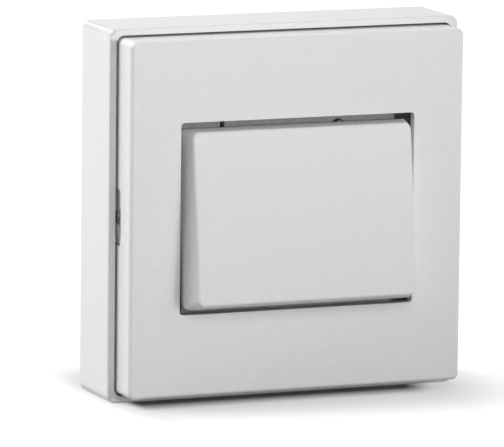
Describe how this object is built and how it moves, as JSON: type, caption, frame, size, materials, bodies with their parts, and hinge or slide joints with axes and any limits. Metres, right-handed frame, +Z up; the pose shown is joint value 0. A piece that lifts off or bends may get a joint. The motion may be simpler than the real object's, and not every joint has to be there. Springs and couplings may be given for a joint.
{
  "type": "weatherproof light switch",
  "caption": "Square surface-mounted light switch with a deep wall box, a clip-on cover plate and a large tilting rocker.",
  "frame": {"origin": "centre of the surface box's back face, which lies on the wall", "axes": "+Y into the wall, -Y out of the wall towards the user, +Z up, +X to the right as seen by the user"},
  "size_m": [0.0844, 0.0325, 0.0844],
  "materials": {
    "white_plastic": "fine satin gloss",
    "inner_plastic": "moulded, matt",
    "rubber_seal": "matt",
    "zinc_steel": "zinc plated",
    "brass": "rolled",
    "contact_silver": "silver alloy"
  },
  "bodies": {
    "housing": {"base_cover": "inner_plastic", "base_rivets": "zinc_steel", "cable_grommet": "rubber_seal", "common_terminal": "brass", "common_terminal_cage": "zinc_steel", "cover_plate": "white_plastic", "insert_frame": "white_plastic", "lower_fixed_contact": "contact_silver", "lower_terminal": "brass", "lower_terminal_cage": "zinc_steel", "mounting_yoke": "zinc_steel", "rim_gasket": "rubber_seal", "surface_box": "white_plastic", "switch_base": "inner_plastic", "terminal_screws": "zinc_steel", "upper_fixed_contact": "contact_silver", "upper_terminal": "brass", "upper_terminal_cage": "zinc_steel", "wall_gasket": "rubber_seal", "yoke_screws": "zinc_steel"},
    "rocker": {"rocker_cap": "white_plastic", "rocker_cradle": "inner_plastic"},
    "plunger": {"plunger": "inner_plastic", "plunger_spring": "zinc_steel"},
    "contact": {"contact_lever": "brass", "moving_contacts": "contact_silver"}
  },
  "joints": [
    {"name": "rocker_tilt", "type": "hinge", "parent": "housing", "child": "rocker", "pos_m": [0, -0.02595, 0], "axis": [1, 0, 0], "range_deg": [0, 14]},
    {"name": "plunger_slide", "type": "slide", "parent": "rocker", "child": "plunger", "axis": [0, -0.9925, 0.1219], "range_m": [0, 0.0006], "stiffness_N_per_m": 600, "springref_m": -0.002, "deforming": ["plunger_spring"]},
    {"name": "contact_swing", "type": "hinge", "parent": "housing", "child": "contact", "pos_m": [0, -0.01376, 0], "axis": [1, 0, 0], "range_deg": [-18, 0]}
  ],
  "couplings": [
    {"joint": "contact_swing", "follows": "rocker_tilt", "ratio": -1.2857}
  ]
}
